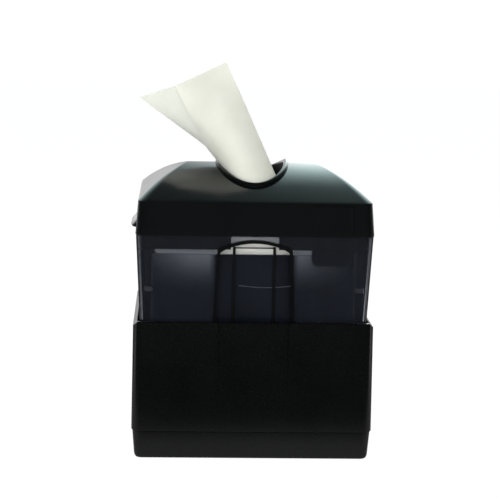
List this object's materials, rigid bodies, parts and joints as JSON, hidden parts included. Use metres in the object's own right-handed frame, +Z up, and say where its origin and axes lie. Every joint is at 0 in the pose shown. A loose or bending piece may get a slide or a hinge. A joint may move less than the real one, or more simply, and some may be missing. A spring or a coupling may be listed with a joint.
{
  "type": "napkin dispenser",
  "caption": "Countertop dispenser that pops folded paper napkins up through an oval opening in its hinged lid, with a smoky see-through body in a black base.",
  "frame": {"origin": "on the table, under the middle of the dispenser", "axes": "+Z up, the front with the arch faces -Y, +X to the right seen from the front"},
  "size_m": [0.1982, 0.1586, 0.316],
  "materials": {
    "black_plastic": "satin moulded black plastic",
    "black_base_plastic": "fine-textured black plastic",
    "smoke_plastic": "translucent grey-navy smoke plastic",
    "paper": "embossed soft tissue paper, warm off-white",
    "rubber": "matt black",
    "steel": "plain zinc-plated steel"
  },
  "bodies": {
    "dispenser": {"base_tray": "black_base_plastic", "base_housing": "black_base_plastic", "ballast_plate": "steel", "window_body": "smoke_plastic", "arch_frame": "black_plastic", "stack_guard": "black_plastic", "napkin_well": "smoke_plastic", "lift_spring_left": "steel", "lift_spring_right": "steel", "hinge_bracket_left": "black_plastic", "hinge_bracket_right": "black_plastic", "hinge_pin_left": "steel", "hinge_pin_right": "steel", "foot_pad_1": "rubber", "foot_pad_2": "rubber", "foot_pad_3": "rubber", "foot_pad_4": "rubber", "base_screw_1": "steel", "base_screw_2": "steel", "base_screw_3": "steel", "base_screw_4": "steel", "hinge_screw_1": "steel", "hinge_screw_2": "steel", "hinge_screw_3": "steel", "hinge_screw_4": "steel"},
    "lid": {"lid_shell": "black_plastic", "throat_collar": "black_plastic", "lid_inner_frame": "black_plastic", "latch_spring": "steel", "lid_screw_1": "steel", "lid_screw_2": "steel", "lid_screw_3": "steel", "lid_screw_4": "steel"},
    "latch": {"latch_button": "black_plastic", "latch_hook": "black_plastic"},
    "lift": {"lift_platform": "black_plastic", "napkin_stack": "paper"},
    "napkin": {"napkin_popup": "paper"}
  },
  "joints": [
    {"name": "lid_hinge", "type": "hinge", "parent": "dispenser", "child": "lid", "pos_m": [0, 0.07835, 0.1823], "axis": [-1, 0, 0], "range_deg": [0, 105]},
    {"name": "latch_press", "type": "slide", "parent": "lid", "child": "latch", "axis": [0, 1, 0], "range_m": [0, 0.0025], "stiffness_N_per_m": 700, "springref_m": -0.002, "deforming": ["latch_spring"]},
    {"name": "lift_slide", "type": "slide", "parent": "dispenser", "child": "lift", "axis": [0, 0, 1], "range_m": [-0.03, 0], "stiffness_N_per_m": 450, "springref_m": 0.09, "deforming": ["lift_spring_left", "lift_spring_right"]},
    {"name": "napkin_pull", "type": "slide", "parent": "lid", "child": "napkin", "axis": [0, 0, 1], "range_m": [0, 0.1]}
  ]
}
